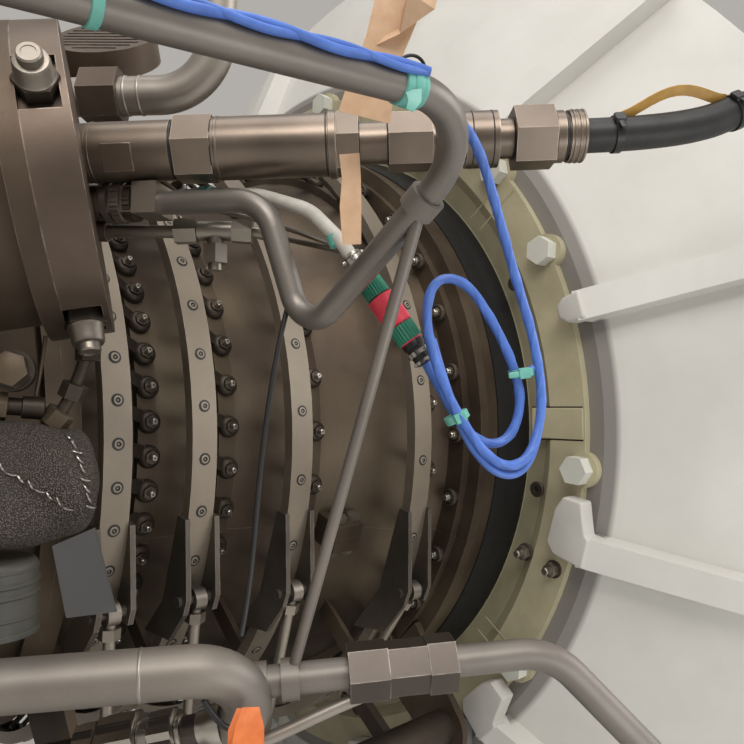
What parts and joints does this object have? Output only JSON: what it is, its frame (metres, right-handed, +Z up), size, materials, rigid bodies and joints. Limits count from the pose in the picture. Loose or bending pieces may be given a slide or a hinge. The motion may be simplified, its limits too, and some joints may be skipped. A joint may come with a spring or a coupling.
{
  "type": "gas turbine compressor section",
  "caption": "Axial compressor of an industrial gas turbine with guide-vane levers, unison rings, air intake, combustor cans and a fuel line on a base frame.",
  "frame": {"origin": "centre of the rear flange's face, on the turbine axis", "axes": "+X along the turbine axis to the air intake and the drive flange, +Z up, -Y the side with the fuel line and the push rods"},
  "size_m": [1.382, 1.9943, 1.95],
  "materials": {
    "casing_steel": "satin, heat-tinted",
    "can_steel": "satin",
    "ring_steel": "satin",
    "lever_steel": "oiled",
    "bolt_steel": "satin",
    "vane_steel": "satin",
    "rotor_steel": "satin",
    "intake_paint": "satin",
    "white_bolt": "satin",
    "wall_paint": "satin",
    "seal_rubber": "matt",
    "pipe_steel": "satin",
    "fuel_line_steel": "polished",
    "hose_rubber": "matt",
    "cable_jacket": "satin",
    "sleeve_white": "matt",
    "plug_red": "satin",
    "jacket_cloth": "knitted wire",
    "canister_paint": "satin",
    "base_paint": "satin",
    "bearing_bronze": "plain"
  },
  "bodies": {
    "casing": {"compressor_casing_top": "casing_steel", "compressor_casing_bottom": "casing_steel", "casing_bolts": "bolt_steel", "flange_studs": "lever_steel", "vane_levers_1": "lever_steel", "vane_levers_2": "lever_steel", "vane_levers_3": "lever_steel", "vane_levers_4": "lever_steel", "lever_nuts": "bolt_steel", "guide_vanes": "vane_steel", "inlet_vanes": "vane_steel", "shaft_brackets": "casing_steel", "bearings": "bearing_bronze", "centre_casing": "casing_steel", "rear_cover": "casing_steel", "combustor_covers": "can_steel", "cover_studs": "bolt_steel", "seal_band": "seal_rubber", "intake_casing": "intake_paint", "intake_bolts": "white_bolt", "intake_wall": "wall_paint", "fuel_valve": "fuel_line_steel", "hose_fitting": "fuel_line_steel", "fuel_hose": "hose_rubber", "hose_union": "fuel_line_steel", "balance_pipe": "pipe_steel", "balance_union": "fuel_line_steel", "pressure_block": "lever_steel", "tee_fitting": "bolt_steel", "signal_sleeve": "sleeve_white", "sensor_plug": "plug_red", "sensor_cable": "cable_jacket", "cable_box": "base_paint", "bleed_pipe": "pipe_steel", "bleed_nut": "bolt_steel", "drain_pipe": "pipe_steel", "return_pipe": "pipe_steel", "pipe_union": "fuel_line_steel", "brace_rod": "bolt_steel", "vent_cap": "can_steel", "insulation_jacket": "jacket_cloth", "canister": "canister_paint", "base_frame": "base_paint", "rear_support": "base_paint", "front_support": "base_paint"},
    "rotor": {"rotor_shaft": "rotor_steel", "rotor_discs": "rotor_steel"},
    "vane_shaft": {"actuating_shaft": "lever_steel"},
    "ring_1": {"unison_ring_1": "ring_steel", "ring_bracket_1": "ring_steel"},
    "rod_1": {"push_rod_1": "bolt_steel"},
    "ring_2": {"unison_ring_2": "ring_steel", "ring_bracket_2": "ring_steel"},
    "rod_2": {"push_rod_2": "bolt_steel"},
    "ring_3": {"unison_ring_3": "ring_steel", "ring_bracket_3": "ring_steel"},
    "rod_3": {"push_rod_3": "bolt_steel"},
    "ring_4": {"unison_ring_4": "ring_steel", "ring_bracket_4": "ring_steel"},
    "rod_4": {"push_rod_4": "bolt_steel"}
  },
  "joints": [
    {"name": "rotor_spin", "type": "hinge", "parent": "casing", "child": "rotor", "pos_m": [0.4, 0, 0], "axis": [1, 0, 0], "continuous": true},
    {"name": "vane_shaft_turn", "type": "hinge", "parent": "casing", "child": "vane_shaft", "pos_m": [0.44, -0.43, -0.44], "axis": [1, 0, 0], "range_deg": [-11, 11]},
    {"name": "ring_1_turn", "type": "hinge", "parent": "casing", "child": "ring_1", "pos_m": [0.5006, 0, 0], "axis": [1, 0, 0], "range_deg": [-1.1, 1.1]},
    {"name": "rod_1_swing", "type": "hinge", "parent": "ring_1", "child": "rod_1", "pos_m": [0.5006, -0.40809, -0.17744], "axis": [1, 0, 0], "range_deg": [-1.7, 1.7]},
    {"name": "ring_2_turn", "type": "hinge", "parent": "casing", "child": "ring_2", "pos_m": [0.6, 0, 0], "axis": [1, 0, 0], "range_deg": [-1.39, 1.39]},
    {"name": "rod_2_swing", "type": "hinge", "parent": "ring_2", "child": "rod_2", "pos_m": [0.6, -0.41268, -0.17944], "axis": [1, 0, 0], "range_deg": [-2.03, 2.03]},
    {"name": "ring_3_turn", "type": "hinge", "parent": "casing", "child": "ring_3", "pos_m": [0.7204, 0, 0], "axis": [1, 0, 0], "range_deg": [-1.66, 1.66]},
    {"name": "rod_3_swing", "type": "hinge", "parent": "ring_3", "child": "rod_3", "pos_m": [0.7204, -0.43414, -0.18877], "axis": [1, 0, 0], "range_deg": [-2.01, 2.01]},
    {"name": "ring_4_turn", "type": "hinge", "parent": "casing", "child": "ring_4", "pos_m": [0.8818, 0, 0], "axis": [1, 0, 0], "range_deg": [-2.03, 2.03]},
    {"name": "rod_4_swing", "type": "hinge", "parent": "ring_4", "child": "rod_4", "pos_m": [0.8818, -0.47926, -0.20839], "axis": [1, 0, 0], "range_deg": [-1.04, 1.04]}
  ],
  "couplings": [
    {"joint": "ring_1_turn", "follows": "vane_shaft_turn", "ratio": -0.09738},
    {"joint": "rod_1_swing", "follows": "vane_shaft_turn", "ratio": 0.15243},
    {"joint": "ring_2_turn", "follows": "vane_shaft_turn", "ratio": -0.1242},
    {"joint": "rod_2_swing", "follows": "vane_shaft_turn", "ratio": 0.18213},
    {"joint": "ring_3_turn", "follows": "vane_shaft_turn", "ratio": -0.14844},
    {"joint": "rod_3_swing", "follows": "vane_shaft_turn", "ratio": 0.18078},
    {"joint": "ring_4_turn", "follows": "vane_shaft_turn", "ratio": -0.18256},
    {"joint": "rod_4_swing", "follows": "vane_shaft_turn", "ratio": 0.09209}
  ]
}
